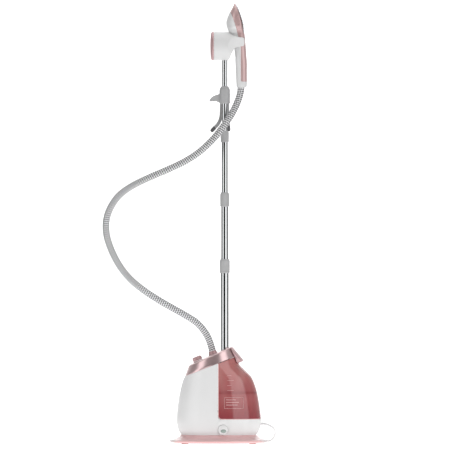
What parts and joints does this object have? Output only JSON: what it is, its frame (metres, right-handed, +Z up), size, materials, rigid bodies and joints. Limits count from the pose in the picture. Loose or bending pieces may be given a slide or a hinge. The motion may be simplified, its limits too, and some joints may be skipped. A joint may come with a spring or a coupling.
{
  "type": "upright garment steamer",
  "caption": "Upright garment steamer: base with boiler and see-through water tank, telescopic mast, folding hanger, cradle, steam hose and iron-shaped handset.",
  "frame": {"origin": "floor level under the centre of the base plate", "axes": "+Z up along the mast, +X from the knob end to the tank end, -Y the near side with the power key"},
  "size_m": [0.6081, 0.4015, 1.541],
  "materials": {
    "pink_plastic": "gloss, slightly see-through at the rim",
    "white_plastic": "smooth gloss moulding",
    "rose_metallic": "metallic rose lacquer",
    "rose_plastic": "smooth gloss moulding",
    "rose_clear": "tinted clear plastic",
    "dark_rubber": "matte rubber",
    "rose_rubber": "soft matt rubber",
    "white_rubber": "smooth flexible sheath",
    "dark_plastic": "matte moulding",
    "grey_plastic": "fine grained moulding",
    "silicone": "smooth silicone tube",
    "board": "coated circuit board",
    "bright_steel": "bright plated steel",
    "boiler_aluminium": "cast aluminium",
    "brushed_sole": "polished plate",
    "chrome_tube": "bright chrome plating",
    "hose_braid": "woven braid over a ribbed hose"
  },
  "bodies": {
    "base": {"base_plate": "pink_plastic", "rubber_feet": "rose_rubber", "base_screws": "bright_steel", "chassis_tray": "white_plastic", "body_shell": "white_plastic", "tank_bay": "white_plastic", "top_deck": "rose_metallic", "hose_gland": "rose_metallic", "steam_regulator": "dark_plastic", "power_switch": "dark_plastic", "boiler_body": "boiler_aluminium", "boiler_cover": "boiler_aluminium", "heating_element": "bright_steel", "thermostat": "dark_plastic", "steam_tube": "silicone", "water_pump": "dark_plastic", "feed_tube": "silicone", "tank_dock": "dark_rubber", "control_board": "board", "pole_socket": "white_plastic", "strain_relief": "white_rubber", "pole_tube_1": "chrome_tube", "hose_lower": "hose_braid", "mains_lead": "white_rubber", "lead_coil": "white_rubber", "plug_body": "white_rubber", "plug_pins": "bright_steel"},
    "knob": {"control_knob": "rose_metallic"},
    "power_key": {"power_button": "white_plastic"},
    "tank": {"tank_shell": "rose_clear", "tank_handle": "rose_metallic", "tank_valve": "dark_plastic"},
    "tank_cap": {"fill_cap": "rose_plastic"},
    "collar_1": {"lock_collar_1": "grey_plastic"},
    "collar_2": {"lock_collar_2": "grey_plastic"},
    "collar_3": {"lock_collar_3": "grey_plastic"},
    "mast_2": {"pole_tube_2": "chrome_tube", "slide_bush_2": "dark_plastic", "hose_middle": "hose_braid"},
    "mast_3": {"pole_tube_3": "chrome_tube", "slide_bush_3": "dark_plastic", "hose_upper": "hose_braid"},
    "mast_4": {"pole_tube_4": "chrome_tube", "slide_bush_4": "dark_plastic", "hanger_bracket": "grey_plastic", "hanger_pins": "bright_steel", "cradle_drum": "white_plastic", "cradle_end_cap": "rose_plastic", "cradle_yoke": "white_plastic", "hose_top": "hose_braid"},
    "arm_left": {"hanger_arm_left": "grey_plastic", "arm_tip_left": "dark_rubber"},
    "arm_right": {"hanger_arm_right": "grey_plastic", "arm_tip_right": "dark_rubber"},
    "handset": {"handset_shell": "white_plastic", "handset_panel": "rose_plastic", "soleplate": "brushed_sole", "trigger_switch": "dark_plastic"},
    "trigger": {"steam_trigger": "white_plastic"}
  },
  "joints": [
    {"name": "mast_2_slide", "type": "slide", "parent": "base", "child": "mast_2", "axis": [0, 0, 1], "range_m": [-0.17, 0], "deforming": ["hose_lower"]},
    {"name": "mast_3_slide", "type": "slide", "parent": "mast_2", "child": "mast_3", "axis": [0, 0, 1], "range_m": [-0.165, 0], "deforming": ["hose_middle"]},
    {"name": "mast_4_slide", "type": "slide", "parent": "mast_3", "child": "mast_4", "axis": [0, 0, 1], "range_m": [-0.09, 0], "deforming": ["hose_upper"]},
    {"name": "handset_lift_off", "type": "slide", "parent": "mast_4", "child": "handset", "axis": [1, 0, 0], "range_m": [0, 0.09], "deforming": ["hose_top"]},
    {"name": "trigger_press", "type": "slide", "parent": "handset", "child": "trigger", "axis": [1, 0, 0], "range_m": [0, 0.003], "stiffness_N_per_m": 500, "springref_m": -0.002},
    {"name": "arm_left_swing", "type": "hinge", "parent": "mast_4", "child": "arm_left", "pos_m": [0.012, 0.0198, 1.203], "axis": [0, 1, 0], "range_deg": [0, 90]},
    {"name": "arm_right_swing", "type": "hinge", "parent": "mast_4", "child": "arm_right", "pos_m": [0.03, 0.0198, 1.203], "axis": [0, 1, 0], "range_deg": [-90, 0]},
    {"name": "collar_1_twist", "type": "hinge", "parent": "base", "child": "collar_1", "pos_m": [0.021, 0, 0.62], "axis": [0, 0, 1], "range_deg": [0, 90]},
    {"name": "collar_2_twist", "type": "hinge", "parent": "mast_2", "child": "collar_2", "pos_m": [0.021, 0, 0.85], "axis": [0, 0, 1], "range_deg": [0, 90]},
    {"name": "collar_3_twist", "type": "hinge", "parent": "mast_3", "child": "collar_3", "pos_m": [0.021, 0, 1.07], "axis": [0, 0, 1], "range_deg": [0, 90]},
    {"name": "tank_pull_out", "type": "slide", "parent": "base", "child": "tank", "axis": [1, 0, 0], "range_m": [0, 0.17]},
    {"name": "fill_cap_twist", "type": "hinge", "parent": "tank", "child": "tank_cap", "pos_m": [0.086, 0, 0.249], "axis": [0.7193, 0, 0.6947], "range_deg": [0, 90]},
    {"name": "steam_knob_turn", "type": "hinge", "parent": "base", "child": "knob", "pos_m": [-0.073, 0, 0.292], "axis": [-0.3902, 0, 0.9207], "range_deg": [0, 270]},
    {"name": "power_key_press", "type": "slide", "parent": "base", "child": "power_key", "axis": [0, 1, 0], "range_m": [0, 0.003], "stiffness_N_per_m": 500, "springref_m": -0.002}
  ]
}
